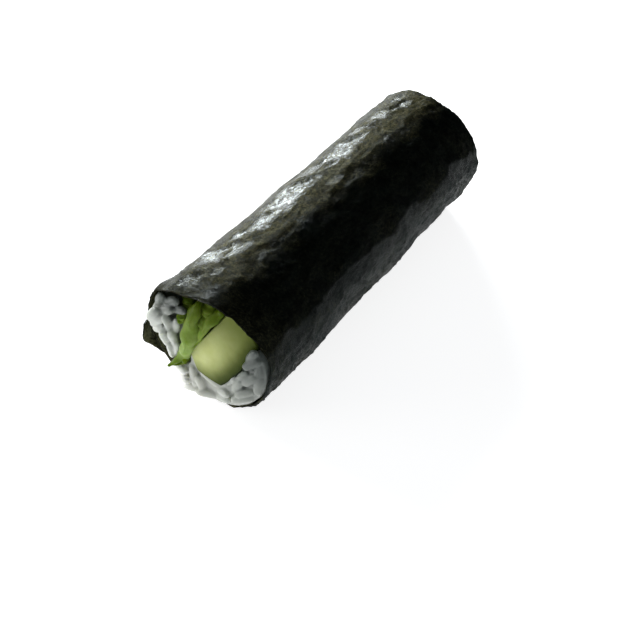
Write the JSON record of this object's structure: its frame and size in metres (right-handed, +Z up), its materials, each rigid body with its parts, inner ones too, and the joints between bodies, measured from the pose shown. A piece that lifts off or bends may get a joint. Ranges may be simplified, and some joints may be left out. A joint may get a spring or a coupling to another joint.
{
  "type": "hand roll",
  "caption": "Whole hand roll lying on its side: a seaweed sheet wound round rice, a cucumber stick and folded lettuce, all showing at both open ends.",
  "frame": {"origin": "middle of the underside: the centre of the bounding box, on the surface that the roll lies on", "axes": "+X along the roll from its shown front end to its rear end, +Z up; seen from the front end, the cucumber is to the right, toward -Y"},
  "size_m": [0.1108, 0.04, 0.0376],
  "materials": {
    "nori": "thin pressed seaweed, near-black green, crinkled and glossy",
    "rice": "cooked white rice, moist and slightly translucent",
    "cucumber": "wet cut flesh, pale yellow-green, with a dark green skin side",
    "lettuce": "moist leaf, bright green"
  },
  "bodies": {
    "root": {"nori": "nori", "rice": "rice", "cucumber": "cucumber", "lettuce_leaf": "lettuce", "lettuce_scrap": "lettuce"}
  },
  "joints": []
}
